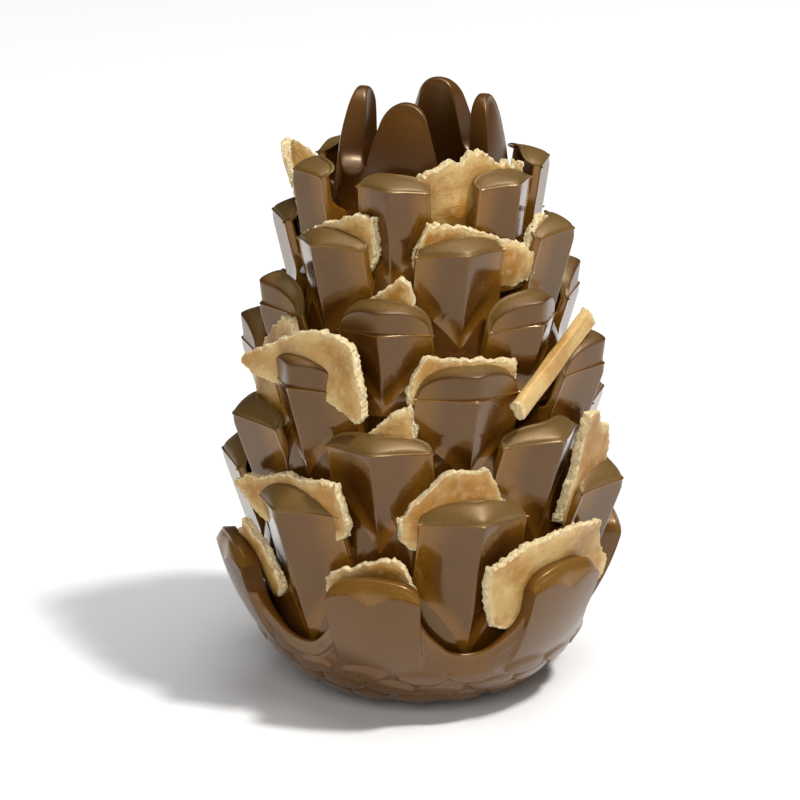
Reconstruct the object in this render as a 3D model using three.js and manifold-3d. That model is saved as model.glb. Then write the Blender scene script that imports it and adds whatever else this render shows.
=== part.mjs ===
// A moulded rubber pine cone that holds chewable treats, with broken treat pieces stuck behind its
// scales. Millimetres, +Z up. The origin is the centre of the flat spot that the cone stands on.
// Azimuth 0 is the front, -Y, and it grows towards +X.
import * as THREE from 'three';
import Module from 'manifold-3d';
import { mergeVertices } from 'three/addons/utils/BufferGeometryUtils.js';

const wasm = await Module();
wasm.setup();

// Driving dimensions of the moulding.
const HEIGHT = 130;
const BASE_SPOT_RADIUS = 16.5;
const SCALES_PER_TIER = 6;
const FACE_FALL = Math.tan(THREE.MathUtils.degToRad(32)); // how fast a scale's two faces fall from its ridge
const SHELL_AT_RIDGE = 1.3;   // from the cap's apex in to the back of the scale
const SHELL_AT_SIDE = 1.6;    // wall of the scale along its two sides
const BACK_SLOPE = 0.2;       // the back of a scale leans out a little less than its front
const POCKET_DEPTH = 6.2;     // from the back of a scale in to the scooped core
const POCKET_HALF_WIDTH = 7.5;
const SIDE_DROOP = 1.2;       // the cap starts this much lower at the sides than at the ridge
const CLEARANCE = 0.3;        // left between a treat and the rubber that grips it
const TREAT_THICK = 2.2;
const WELD = 0.002;           // points closer than this after a cut are one point
const ROUND_SIDES = 24;

// The six tiers of scales, from the bottom up: the ridge's top corner and the cap's apex as
// radius and height, half the width, the ridge's outward lean, and how deep its pocket goes.
const TIERS = [
  { azimuth: 17.2, corner: [44.7, 47.6], apex: [41.8, 52.6], half: 11.5, lean: 0.36, footZ: 17.5, pocket: 11 },
  { azimuth: -14.0, corner: [41.7, 62.7], apex: [38.4, 67.0], half: 11.1, lean: 0.35, footZ: 38.5, pocket: 11 },
  { azimuth: 16.8, corner: [40.2, 73.5], apex: [37.3, 80.6], half: 11.1, lean: 0.33, footZ: 55, pocket: 9 },
  { azimuth: -14.5, corner: [35.6, 86.3], apex: [32.9, 94.2], half: 9.9, lean: 0.3, footZ: 70, pocket: 8 },
  { azimuth: 16.6, corner: [33.2, 101.5], apex: [29.5, 105.6], half: 9.3, lean: 0.25, footZ: 81, pocket: 9 },
  { azimuth: -14.3, corner: [28.3, 114.5], apex: [24.2, 117.8], half: 7.4, lean: 0.15, footZ: 94, pocket: 8 },
].map(({ corner, apex, ...rest }) => (
  { ...rest, cornerR: corner[0], cornerZ: corner[1], apexR: apex[0], apexZ: apex[1] }
));
const SCOOPED_TIERS = [TIERS[1], TIERS[3]]; // the core is cut back only where a pocket would be tight

// The cup of six tongues round the foot.
const TONGUES = { azimuth: -13.7, cornerR: 44.2, cornerZ: 31.3, apexR: 41.2, apexZ: 35.6, half: 9.8 };
const NOTCH = { floorZ: 16.8, radius: 11, shoulderZ: 27 };

// The crown of four fingers round the open top.
const FINGERS = { count: 4, azimuth: -15.1, notchFloorZ: 114.5, notchHalf: 3.6, tipHalf: 8.2 };
const CAVITY = { radius: 12.6, floorZ: 28 };

// Oval relief petals under the cup: rows of radius, height and width.
const PETAL_ROWS = [
  { radius: 35.2, z: 13.4, half: 5.4, turn: 0 },
  { radius: 31.6, z: 9.2, half: 5.0, turn: 0.5 },
];
const PETALS_PER_ROW = 18;
const PETAL_STAND = 1.3;
const PETAL_HEIGHT = 2.7;

// The broken treats. Each is a thin sheet that faces an azimuth, out and up from the axis at its
// own zero point, and may lean outwards and bend round the cone. Its columns run sideways:
// the place along the sheet, its lower edge and its upper edge.
const TREATS = [
  { name: 'treat_top_left', azimuth: -103.4, out: 26.1, up: 105.6, lean: 0.22, bend: 0.016,
    columns: [[-8, -8, 7], [-4, -8, 10.3], [0, -8, 12], [3, -8, 11.4], [5, -2, 4]] },
  { name: 'treat_top_jagged', azimuth: 27.65, out: 20.1, up: 112, lean: 0.05, bend: 0.014,
    columns: [[-12, -4, 4], [-9.4, -7, 5], [-6.8, -8, 7.2], [-2, -9, 7], [0, -9, 9.3],
      [4, -9, 7.9], [8.2, -7, 5.5], [13.8, -4, 5.2]] },
  { name: 'treat_tier5_left', azimuth: -43.75, out: 26.15, up: 105.6, lean: 0.15, bend: 0.016,
    columns: [[-12, -8, -5], [-9.9, -8, -3.6], [-3.5, -9, -0.2], [3.9, -9, 2.3], [8.3, -8.5, 3.5],
      [10.2, -6, 3.5]] },
  { name: 'treat_tier5_front', azimuth: 16.6, out: 26.1, up: 105.6, lean: 0.15, bend: 0.016,
    columns: [[-9, -8, -3], [-6.5, -9, 2.3], [0, -9, 1.3], [5, -9, 0], [10, -14, -2.1],
      [15, -12.5, -4.1], [18.5, -11.5, -7.7]] },
  { name: 'treat_tier5_right', azimuth: 66.5, out: 26.2, up: 105.6, lean: 0.15, bend: 0,
    columns: [[-4.3, -6, -2.2], [0, -8, 0.3], [3.3, -8, -1]] },
  { name: 'treat_tier4_point', azimuth: -14.5, out: 29.4, up: 94.2, lean: 0.15, bend: 0.016,
    columns: [[-3.5, -8, -2.2], [0, -8, 0.8], [3.2, -8, 3.3], [5, -8, 2], [6, -7, -3]] },
  { name: 'treat_tier3_hood', azimuth: -43.2, out: 35.1, up: 80.6, lean: 0.1, bend: -0.001,
    columns: [[-18, -6, -5], [-14.3, -8, -2.6], [-6.6, -9, 1], [-0.6, -9, 4], [4.5, -9, 5.1],
      [9.8, -10, 5.2], [14.6, -12.5, 4.8], [16.5, -11, -1]] },
  { name: 'treat_tier3_front', azimuth: 16.45, out: 33.9, up: 80.6, lean: 0.15, bend: 0.016,
    columns: [[-11.8, -9, -6.1], [-10.9, -9, -3.4], [-9, -9, 0.9], [-4.7, -9, 0.4], [0.4, -9, 0.7],
      [7.3, -9, -0.2], [11, -5, -0.9]] },
  { name: 'treat_tier2_left', azimuth: -62.35, out: 32.25, up: 67, lean: 0, bend: 0,
    columns: [[-12.5, 0.3, 3.5], [-8.4, -8, 11], [-3, -8, 15.2], [0.9, -6, 18], [4.6, -2.5, 18.6],
      [6, -1, 13]] },
  { name: 'treat_tier2_front', azimuth: -14, out: 34.7, up: 67, lean: 0.15, bend: 0.016,
    columns: [[-3, -9, -3], [-1.7, -9, -1.8], [1.7, -9, 1.7], [4.6, -9, 4], [6.6, -9, 5.1],
      [7.2, -8, 1]] },
  { name: 'treat_tier1_hook', azimuth: 62.35, out: 37.85, up: 52.6, lean: 0.25, bend: 0,
    columns: [[-4.7, -10.4, 14.2], [-1, -12, 14], [2.3, -12, 10.5], [8.9, -10, 7.7], [11, -6, 3.8]] },
  { name: 'treat_tier1_left', azimuth: -43.15, out: 38.05, up: 52.6, lean: 0.2, bend: 0.004,
    columns: [[-19, -5.1, -3.9], [-15.7, -7.5, -2.3], [-9.8, -11, -1], [-0.8, -12, 2.3],
      [2.2, -12, 1.2], [7.5, -12, 2.3], [12.6, -9, 2.8], [13.8, -6, -3.2]] },
  { name: 'treat_tier1_arch', azimuth: 16.85, out: 37.9, up: 52.6, lean: 0.2, bend: 0.016,
    columns: [[-14.5, -9.2, -4.9], [-12.5, -11.2, -1.9], [-8.6, -11, 2.9], [-5.6, -11, 5.9],
      [-1.7, -11, 6.1], [2.2, -11, 6.6], [4, -11, 3.5], [7, -11, -1.4]] },
  { name: 'treat_cup_left', azimuth: -60, out: 38.3, up: 35.6, lean: 0.4, bend: 0,
    columns: [[-8, -3, 1.8], [-5, -9, 3], [-2, -12, 6.5], [0, -12, 3.3], [4, -8, 2.6]] },
  { name: 'treat_cup_front', azimuth: -13.7, out: 37.9, up: 35.6, lean: 0.4, bend: 0.012,
    columns: [[-11.2, -5.8, -1.9], [-8.4, -9, 0.7], [-4.2, -9, 1.6], [0.2, -9, 3.6],
      [5.3, -9, 4.5], [6.5, -9, 1.6], [7.6, -7, -3.1]] },
  { name: 'treat_cup_right', azimuth: 47.65, out: 38.5, up: 35.6, lean: 0.3, bend: 0.002,
    columns: [[-21.5, 1.5, 3.2], [-19, -4.6, 3.6], [-15.5, -11.6, 5], [-11.6, -13.2, 6.3],
      [-1.5, -12, 7.3], [5, -12, 7.3], [11, -11, 6.3], [15, -10, -0.8], [19, -9, -5]] },
  // The back, which is guessed.
  { name: 'treat_back_cup', azimuth: 166.3, out: 37.9, up: 35.6, lean: 0.4, bend: 0.012,
    columns: [[-8, -7, 1], [-5, -9, 3.2], [0, -9, 4.6], [5, -9, 3], [9, -7, 2.2]] },
  { name: 'treat_back_tier1', azimuth: 137.2, out: 38.1, up: 52.6, lean: 0.2, bend: 0.012,
    columns: [[-13, -7, -2], [-8, -11, 3], [-3, -11, 6.4], [3, -11, 4.4], [8, -11, 1], [11, -7, -3]] },
  { name: 'treat_back_tier2', azimuth: 106.35, out: 34.8, up: 67, lean: 0.15, bend: 0.014,
    columns: [[-6, -8, 1], [-2, -9, 3.8], [2, -9, 2.8], [7, -9, 4.6], [10, -7, -1]] },
  { name: 'treat_back_tier3', azimuth: -163.2, out: 34.3, up: 80.6, lean: 0.15, bend: 0.008,
    columns: [[-13, -9, -2], [-8, -9, 2.6], [-1, -9, 5], [5, -9, 3.6], [10, -8, 0.5], [13, -7, -4]] },
  { name: 'treat_back_tier4', azimuth: 165.5, out: 29.6, up: 94.2, lean: 0.15, bend: 0.016,
    columns: [[-8, -8, -1], [-4, -8, 2.8], [1, -8, 3.6], [6, -8, 1.4], [9, -7, -2]] },
  { name: 'treat_back_tier5', azimuth: 136.6, out: 26.2, up: 105.6, lean: 0.15, bend: 0.016,
    columns: [[-9, -8, -3], [-4, -9, 2.4], [1, -9, 4.2], [6, -9, 2], [10, -7, -2]] },
];
// A straight stick of treat, wedged between two scales on the right.
const STICK = { low: [38, 69.9, 31.5], high: [33.8, 84.2, 72], half: 1.9, thick: 2.4 };

const rubber = new THREE.MeshStandardMaterial({ color: 0x5a3d1c, roughness: 0.22, metalness: 0 });
const treatBake = new THREE.MeshStandardMaterial({ color: 0xc9a066, roughness: 0.9, metalness: 0 });

// A point given round the cone: sideways, outwards from the axis, up, and the azimuth it faces.
function around(side, out, up, azimuth) {
  const a = THREE.MathUtils.degToRad(azimuth);
  return new THREE.Vector3(
    out * Math.sin(a) + side * Math.cos(a),
    -out * Math.cos(a) + side * Math.sin(a),
    up,
  );
}

// Six times the volume inside a closed mesh, negative where its faces point inwards.
function signedVolume(geometry) {
  const p = geometry.attributes.position;
  const index = geometry.index.array;
  const a = new THREE.Vector3();
  const b = new THREE.Vector3();
  const c = new THREE.Vector3();
  let sum = 0;
  for (let i = 0; i < index.length; i += 3) {
    a.fromBufferAttribute(p, index[i]);
    b.fromBufferAttribute(p, index[i + 1]);
    c.fromBufferAttribute(p, index[i + 2]);
    sum += a.dot(b.cross(c));
  }
  return sum;
}

// The triangles of an index that have three different points.
function wholeTriangles(index, flip = false) {
  const triangles = [];
  for (let i = 0; i < index.length; i += 3) {
    const [a, b, c] = [index[i], index[i + 1], index[i + 2]];
    if (a === b || b === c || a === c) continue;
    triangles.push(a, flip ? c : b, flip ? b : c);
  }
  return triangles;
}

// Turns a closed geometry into a solid, with its shared points merged and its faces outwards.
function solid(geometry) {
  const bare = geometry.clone();
  bare.deleteAttribute('normal');
  bare.deleteAttribute('uv');
  const merged = mergeVertices(bare, 1e-4);
  const triangles = wholeTriangles(merged.index.array, signedVolume(merged) < 0);
  return new wasm.Manifold(new wasm.Mesh({
    numProp: 3,
    vertProperties: new Float32Array(merged.attributes.position.array),
    triVerts: new Uint32Array(triangles),
  }));
}

// Joins rows of points, each the same length, into a closed skin with a flat fan at both ends.
function loft(rows) {
  const width = rows[0].length;
  const index = [];
  for (let r = 0; r + 1 < rows.length; r += 1) {
    for (let i = 0; i < width; i += 1) {
      const a = r * width + i;
      const b = r * width + (i + 1) % width;
      index.push(a, b, b + width, a, b + width, a + width);
    }
  }
  const last = (rows.length - 1) * width;
  for (let i = 1; i + 1 < width; i += 1) {
    index.push(0, i + 1, i, last, last + i, last + i + 1);
  }
  const geometry = new THREE.BufferGeometry().setFromPoints(rows.flat());
  geometry.setIndex(index);
  return geometry;
}

// One scale: a keel-shaped wedge that runs down into the core, a pocket floor, and above it a thin
// shell that ends in a rounded, inward-slanting cap. grow makes every face stand out by that much.
function scale(tier, azimuth, grow) {
  const slant = (tier.apexR - tier.cornerR) / (tier.apexZ - tier.cornerZ);
  const ridge = (z) => tier.cornerR + (z - tier.cornerZ) * (z < tier.cornerZ ? tier.lean : slant);
  const backMid = (z) => tier.apexR - SHELL_AT_RIDGE - BACK_SLOPE * (tier.apexZ - z);
  const deep = CAVITY.radius + 2.5;
  const section = (z, widthShare, isDeep, sideWall, droop) => {
    const half = tier.half * widthShare + grow;
    const front = ridge(z) + grow;
    const edge = front - FACE_FALL * half;
    const side = isDeep ? deep : edge - sideWall - 2 * grow;
    const middle = isDeep ? deep : backMid(z) - grow;
    const top = z + grow;
    return [
      around(-half, side, top - droop, azimuth),
      around(-half, edge, top - droop, azimuth),
      around(0, front, top, azimuth),
      around(half, edge, top - droop, azimuth),
      around(half, side, top - droop, azimuth),
      around(0, middle, top, azimuth),
    ];
  };
  const cap = tier.apexZ - tier.cornerZ;
  const floorZ = tier.cornerZ - tier.pocket;
  return solid(loft([
    section(tier.footZ - 6, 1, true, SHELL_AT_SIDE, 0),
    section(floorZ, 1, true, SHELL_AT_SIDE, 0),
    section(floorZ + 1.5, 1, false, SHELL_AT_SIDE, 0),
    section(tier.cornerZ, 1, false, SHELL_AT_SIDE, SIDE_DROOP),
    section(tier.cornerZ + 0.5 * cap, 0.86, false, 0.75 * SHELL_AT_SIDE, SIDE_DROOP),
    section(tier.cornerZ + 0.86 * cap, 0.52, false, 0.5 * SHELL_AT_SIDE, 0.5 * SIDE_DROOP),
    section(tier.apexZ, 0.2, false, 0.4 * SHELL_AT_SIDE, 0),
  ]));
}

// The scoop that a scale's pocket makes in the core behind it, rounded at its foot.
function scoop(tier, azimuth, grow) {
  const back = tier.apexR - SHELL_AT_RIDGE;
  const section = (z, half, inner) => [
    around(-half, inner, z, azimuth),
    around(-half, back, z, azimuth),
    around(half, back, z, azimuth),
    around(half, inner, z, azimuth),
  ];
  const floorZ = tier.cornerZ - tier.pocket + 1.5 + grow;
  const inner = back - POCKET_DEPTH + grow;
  const half = POCKET_HALF_WIDTH * (tier.half / TIERS[0].half) - grow;
  return solid(loft([
    section(floorZ, 0.6 * half, inner + 1.5),
    section(floorZ + 3, half, inner),
    section(tier.apexZ - 1, half, inner),
    section(tier.apexZ + 2.5, 0.8 * half, inner + 3),
  ]));
}

// The turned body: bowl, groove, core and crown ring, round an open cavity.
function turnedBody(grow) {
  const outside = [
    [0, 0], [BASE_SPOT_RADIUS, 0], [22.6, 2.1], [28.6, 6.5], [33.8, 11.8], [38.4, 18.4],
    [42.0, 25.8], [TONGUES.cornerR, TONGUES.cornerZ], [TONGUES.apexR, TONGUES.apexZ],
  ];
  const groove = [
    [TONGUES.apexR - 1.2, TONGUES.apexZ - 0.6], [38.6, 28.5], [34.9, 17.6], [34.2, 16.4],
  ];
  const core = [
    [33.2, 17.6], [33.9, 23], [33.9, 56], [30.8, 70], [25.0, 96], [18.4, 108.5], [17.4, 119],
    [15.9, 125.2], [14.3, 128.8], [12.9, HEIGHT],
  ];
  const inside = [
    [11.7, 128.9], [CAVITY.radius, 116], [CAVITY.radius, CAVITY.floorZ + 4],
    [CAVITY.radius - 4, CAVITY.floorZ], [0, CAVITY.floorZ],
  ];
  const points = [
    ...outside.map(([r, z]) => new THREE.Vector2(r > 0 ? r + grow : 0, z)),
    ...groove.map(([r, z]) => new THREE.Vector2(r - grow, z + grow)),
    ...core.map(([r, z]) => new THREE.Vector2(r + grow, z)),
    ...inside.map(([r, z]) => new THREE.Vector2(r > 0 ? r - grow : 0, z)),
  ];
  return solid(new THREE.LatheGeometry(points, ROUND_SIDES).rotateX(Math.PI / 2));
}

// A notch cut straight in towards the axis. Its outline, sideways against height, widens with the
// distance from the axis, and is true to size at the radius named.
function notch(outline, azimuth, fromR, toR, trueR) {
  const geometry = new THREE.ExtrudeGeometry(outline, { depth: toR - fromR, bevelEnabled: false, curveSegments: 4 });
  const p = geometry.attributes.position;
  for (let i = 0; i < p.count; i += 1) {
    const out = fromR + p.getZ(i);
    const place = around(p.getX(i) * (out / trueR), out, p.getY(i), azimuth);
    p.setXYZ(i, place.x, place.y, place.z);
  }
  return solid(geometry);
}

// The gap between two tongues: a round floor, straight sides, then each tongue's rounded shoulder.
function tongueGap(grow) {
  const trueR = 42;
  const pitch = trueR * Math.tan(Math.PI / SCALES_PER_TIER);
  const half = pitch - TONGUES.half - grow;
  const floor = NOTCH.floorZ + grow;
  const outline = new THREE.Shape();
  outline.moveTo(-pitch, HEIGHT / 3);
  outline.lineTo(-pitch, TONGUES.apexZ + grow);
  outline.quadraticCurveTo(-half, TONGUES.apexZ + grow, -half, NOTCH.shoulderZ);
  outline.lineTo(-half, floor + NOTCH.radius * 0.75);
  outline.quadraticCurveTo(-half * 0.82, floor, 0, floor);
  outline.quadraticCurveTo(half * 0.82, floor, half, floor + NOTCH.radius * 0.75);
  outline.lineTo(half, NOTCH.shoulderZ);
  outline.quadraticCurveTo(half, TONGUES.apexZ + grow, pitch, TONGUES.apexZ + grow);
  outline.lineTo(pitch, HEIGHT / 3);
  return { outline, trueR };
}

// The gap between two crown fingers: a round floor that opens upwards to the rounded tips.
function fingerGap(grow) {
  const trueR = 16;
  const low = FINGERS.notchHalf - grow;
  const high = FINGERS.tipHalf - grow;
  const floor = FINGERS.notchFloorZ + grow;
  const outline = new THREE.Shape();
  outline.moveTo(-high, HEIGHT - 5);
  outline.lineTo(-low, floor + 4);
  outline.quadraticCurveTo(-low * 0.8, floor, 0, floor);
  outline.quadraticCurveTo(low * 0.8, floor, low, floor + 4);
  outline.lineTo(high, HEIGHT - 5);
  outline.quadraticCurveTo(high + 1, HEIGHT - 1, high + 4, HEIGHT + 1);
  outline.lineTo(-high - 4, HEIGHT + 1);
  outline.quadraticCurveTo(-high - 1, HEIGHT - 1, -high, HEIGHT - 5);
  return { outline, trueR };
}

// One relief petal: a low diamond that lies on the bowl.
function petal(row, turn) {
  const geometry = new THREE.OctahedronGeometry(1, 0);
  geometry.scale(row.half, PETAL_STAND, PETAL_HEIGHT);
  geometry.rotateX(0.75);
  geometry.translate(0, -row.radius, row.z);
  geometry.rotateZ(turn);
  return solid(geometry);
}

// The whole rubber moulding as one solid, with every face grown outwards by grow.
function moulding(grow) {
  let body = turnedBody(grow);
  const tonguePitch = 360 / SCALES_PER_TIER;
  const gap = tongueGap(grow);
  for (let k = 0; k < SCALES_PER_TIER; k += 1) {
    const azimuth = TONGUES.azimuth + tonguePitch * (k + 0.5);
    body = body.subtract(notch(gap.outline, azimuth, 33.95 + grow, 52, gap.trueR));
  }
  const fingerPitch = 360 / FINGERS.count;
  const slot = fingerGap(grow);
  for (let k = 0; k < FINGERS.count; k += 1) {
    const azimuth = FINGERS.azimuth + fingerPitch * (k + 0.5);
    body = body.subtract(notch(slot.outline, azimuth, 4, 26, slot.trueR));
  }
  for (const tier of SCOOPED_TIERS) {
    for (let k = 0; k < SCALES_PER_TIER; k += 1) {
      body = body.subtract(scoop(tier, tier.azimuth + tonguePitch * k, grow));
    }
  }
  for (const tier of TIERS) {
    for (let k = 0; k < SCALES_PER_TIER; k += 1) {
      body = body.add(scale(tier, tier.azimuth + tonguePitch * k, grow));
    }
  }
  if (grow === 0) {
    for (const row of PETAL_ROWS) {
      for (let k = 0; k < PETALS_PER_ROW; k += 1) {
        body = body.add(petal(row, (2 * Math.PI * (k + row.turn)) / PETALS_PER_ROW));
      }
    }
  }
  return body;
}

// One treat: its columns, bent and leaned into place, with the same thickness all over.
function treat({ azimuth, out, up, lean, bend, columns }) {
  const corner = (side, height, offset) => (
    around(side, out + lean * height - bend * side * side + offset, up + height, azimuth)
  );
  return solid(loft(columns.map(([side, low, high]) => [
    corner(side, low, TREAT_THICK / 2),
    corner(side, high, TREAT_THICK / 2),
    corner(side, high, -TREAT_THICK / 2),
    corner(side, low, -TREAT_THICK / 2),
  ])));
}

// The stick: a straight bar between its two ends, its broad side facing out.
function stick() {
  const ends = [STICK.low, STICK.high].map(([r, z, azimuth]) => around(0, r, z, azimuth));
  const along = ends[1].clone().sub(ends[0]).normalize();
  const outwards = ends[0].clone().add(ends[1]).setZ(0).normalize();
  const across = new THREE.Vector3().crossVectors(outwards, along).normalize().multiplyScalar(STICK.half);
  const deep = new THREE.Vector3().crossVectors(along, across).normalize().multiplyScalar(STICK.thick / 2);
  return solid(loft(ends.map((end) => [
    end.clone().add(across).add(deep),
    end.clone().sub(across).add(deep),
    end.clone().sub(across).sub(deep),
    end.clone().add(across).sub(deep),
  ])));
}

// Turns a solid back into a mesh, keeping its largest piece only.
function meshOf(body, name, material) {
  const pieces = body.decompose().sort((a, b) => b.volume() - a.volume());
  const { vertProperties, triVerts } = pieces[0].getMesh();
  const cut = new THREE.BufferGeometry();
  cut.setAttribute('position', new THREE.BufferAttribute(new Float32Array(vertProperties), 3));
  cut.setIndex(new THREE.BufferAttribute(new Uint32Array(triVerts), 1));
  const geometry = mergeVertices(cut, WELD);
  geometry.setIndex(wholeTriangles(geometry.index.array));
  geometry.computeVertexNormals();
  const mesh = new THREE.Mesh(geometry, material);
  mesh.name = name;
  return mesh;
}

const group = new THREE.Group();
group.add(meshOf(moulding(0), 'cone_moulding', rubber));
const grip = moulding(CLEARANCE);
for (const entry of TREATS) {
  group.add(meshOf(treat(entry).subtract(grip), entry.name, treatBake));
}
group.add(meshOf(stick().subtract(grip), 'treat_stick', treatBake));

export default group;
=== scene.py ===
import math

import bmesh
import bpy
import numpy as np
from mathutils import Matrix, Vector


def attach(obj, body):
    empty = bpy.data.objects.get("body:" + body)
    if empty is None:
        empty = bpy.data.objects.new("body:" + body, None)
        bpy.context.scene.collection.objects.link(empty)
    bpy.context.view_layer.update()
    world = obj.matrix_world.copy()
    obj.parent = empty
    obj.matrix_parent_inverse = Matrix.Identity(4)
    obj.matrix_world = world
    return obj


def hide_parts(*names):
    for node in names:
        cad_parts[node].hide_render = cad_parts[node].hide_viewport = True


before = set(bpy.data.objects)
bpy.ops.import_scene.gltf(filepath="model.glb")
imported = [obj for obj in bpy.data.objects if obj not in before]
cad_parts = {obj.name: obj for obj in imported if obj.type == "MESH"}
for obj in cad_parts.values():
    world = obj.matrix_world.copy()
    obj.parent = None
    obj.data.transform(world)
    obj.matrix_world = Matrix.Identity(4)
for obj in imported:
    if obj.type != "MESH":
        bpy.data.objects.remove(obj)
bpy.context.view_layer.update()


# The camera stands straight in front of the cone, 17 degrees above the table, on a long lens.
# It is turned a little about its own axis, as the photograph is, and the frame is 800 by 800.
look_at = Vector((0.0, 0.0, 0.0641))
height_angle = math.radians(17.17)
distance = 0.7805
camera_data = bpy.data.cameras.new("camera")
camera_data.lens = 164.3
camera_data.sensor_width = 36.0
camera_data.shift_x = -20.8 / 800
camera_data.shift_y = -8.3 / 800
camera_data.clip_start = 0.05
camera_data.clip_end = 50.0
camera = bpy.data.objects.new("camera", camera_data)
bpy.context.scene.collection.objects.link(camera)
back = Vector((0.0, -math.cos(height_angle), math.sin(height_angle)))
turn = (-back).to_track_quat("-Z", "Y").to_matrix() @ Matrix.Rotation(math.radians(0.416), 3, "Z")
camera.matrix_world = Matrix.Translation(look_at + back * distance) @ turn.to_4x4()
bpy.context.scene.camera = camera


# The table is a matt white sweep of paper, far larger than the view. One soft lamp from the front right
# throws the shadow to the left, and two wide panels, overhead and in front, fill the rest. The front one
# doesn't show in the gloss.
paper_mesh = bpy.data.meshes.new("paper")
paper_mesh.from_pydata([(-6, -6, 0), (6, -6, 0), (6, 6, 0), (-6, 6, 0)], [], [(0, 1, 2, 3)])
paper = bpy.data.objects.new("paper", paper_mesh)
bpy.context.scene.collection.objects.link(paper)
paper_finish = bpy.data.materials.new("paper_white")
paper_finish.use_nodes = True
paper_shader = paper_finish.node_tree.nodes["Principled BSDF"]
paper_shader.inputs["Base Color"].default_value = (0.86, 0.86, 0.86, 1)
paper_shader.inputs["Roughness"].default_value = 0.85
paper_shader.inputs["Specular IOR Level"].default_value = 0.1
paper_mesh.materials.append(paper_finish)


def lamp(name, place, target, size, watts, tint, mirrored=True):
    """A square area lamp that stands at place and faces target. mirrored says whether gloss shows it."""
    data = bpy.data.lights.new(name, "AREA")
    data.shape = "SQUARE"
    data.size = size
    data.energy = watts
    data.color = tint
    made = bpy.data.objects.new(name, data)
    made.location = place
    made.visible_glossy = mirrored
    made.rotation_euler = (Vector(target) - Vector(place)).to_track_quat("-Z", "Y").to_euler()
    bpy.context.scene.collection.objects.link(made)


lamp("key_lamp", (1.36, -0.85, 2.84), (0.0, 0.0, 0.05), 0.36, 88.0, (1.0, 0.99, 0.97))
lamp("top_panel", (0.5, 0.1, 3.4), (0.0, 0.0, 0.05), 3.0, 66.0, (1.0, 1.0, 1.0))
lamp("front_panel", (-0.4, -2.6, 1.6), (0.0, 0.0, 0.05), 2.0, 44.0, (1.0, 1.0, 1.0), mirrored=False)
sky = bpy.data.worlds.new("studio")
sky.use_nodes = True
sky.node_tree.nodes["Background"].inputs["Color"].default_value = (1.0, 1.0, 1.0, 1)
sky.node_tree.nodes["Background"].inputs["Strength"].default_value = 0.06
bpy.context.scene.world = sky
bpy.context.scene.view_settings.view_transform = "Standard"
bpy.context.scene.view_settings.look = "None"


# The cup is the foot of the cone: one rubber bowl that rises into six broad tongues with round notches
# between them. It comes out of the same mould as all the scales, in one brown natural rubber.
class Tone:
    """A socket in a material's node tree. Arithmetic on it adds Math nodes, and takes numbers too."""

    def __init__(self, tree, socket=None):
        self.tree, self.socket = tree, socket

    def node(self, kind, settings=None, inputs=None, output=0):
        """Adds a node of this type: its settings first, then each input's value or link."""
        made = self.tree.nodes.new(kind)
        for key, value in (settings or {}).items():
            setattr(made, key, value)
        for key, value in (inputs or {}).items():
            if isinstance(value, Tone):
                self.tree.links.new(value.socket, made.inputs[key])
            else:
                made.inputs[key].default_value = value
        return Tone(self.tree, made.outputs[output])

    def sum(self, operation, first, second):
        return self.node("ShaderNodeMath", {"operation": operation}, {0: first, 1: second})

    def __add__(self, other):
        return self.sum("ADD", self, other)

    def __radd__(self, other):
        return self.sum("ADD", other, self)

    def __sub__(self, other):
        return self.sum("SUBTRACT", self, other)

    def __mul__(self, other):
        return self.sum("MULTIPLY", self, other)


def blank(name):
    """A new material, its empty tree wrapped in a Tone, its shader and its Object coordinates."""
    finish = bpy.data.materials.new(name)
    finish.use_nodes = True
    tree = finish.node_tree
    start = Tone(tree)
    return finish, start, tree.nodes["Principled BSDF"], start.node("ShaderNodeTexCoord", output=3)


def blotch(start, where, scale, detail=2.0, rough=0.5):
    """Noise over the surface, from 0 to 1, with scale in blotches per metre."""
    inputs = {"Vector": where, "Scale": scale, "Detail": detail, "Roughness": rough}
    return start.node("ShaderNodeTexNoise", None, inputs)


def between(start, factor, low, high):
    """A colour that goes from low to high as factor goes from 0 to 1. Either may be a colour or a link."""
    low = low if isinstance(low, Tone) else (*low, 1)
    high = high if isinstance(high, Tone) else (*high, 1)
    return start.node("ShaderNodeMix", {"data_type": "RGBA"}, {0: factor, 6: low, 7: high}, output=2)


def lift(start, factor, low, high):
    """factor stretched so that low becomes 0 and high becomes 1, and held inside those."""
    return start.node("ShaderNodeMapRange", None, {0: factor, 1: low, 2: high})


def worn(start, name):
    """The value of a mesh attribute at each point."""
    return start.node("ShaderNodeAttribute", {"attribute_name": name}, output=2)


RUBBER_DARK = (0.055, 0.0180, 0.0019)
RUBBER_LIGHT = (0.082, 0.0295, 0.0036)
# Painted glow: a golden brown where light would shine through the thin rubber.
PAINTED_GLOW_GOLD = (0.185, 0.075, 0.0070)
SATIN_BROWN = (0.030, 0.0085, 0.0008)
CAP_TAN = (0.122, 0.070, 0.016)
SPECK_BROWN = (0.030, 0.012, 0.002)
rubber, start, shader, where = blank("brown_rubber")
cloud = blotch(start, where, 60.0, 3.0)
speck = blotch(start, where, 1100.0, 2.0)
cap_share = worn(start, "cap")
painted_glow_share = worn(start, "glow")
satin_share = worn(start, "satin")
tint = between(start, lift(start, cloud, 0.35, 0.7), RUBBER_DARK, RUBBER_LIGHT)
# Painted glow, as of light through the thin rubber, on edges, lips, notch rims and the crown's fingers.
tint = between(start, painted_glow_share, tint, PAINTED_GLOW_GOLD)
tint = between(start, satin_share - cap_share, tint, SATIN_BROWN)
tint = between(start, cap_share * 0.85, tint, CAP_TAN)
tint = between(start, lift(start, speck, 0.55, 0.75) * 0.3, tint, SPECK_BROWN)
start.tree.links.new(tint.socket, shader.inputs["Base Color"])
gloss = 0.11 + lift(start, cloud, 0.3, 0.8) * 0.05 + satin_share * 0.46
start.tree.links.new(gloss.socket, shader.inputs["Roughness"])
fine = blotch(start, where, 1700.0, 3.0, 0.6)
wavy = blotch(start, where, 280.0, 3.0)
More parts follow.
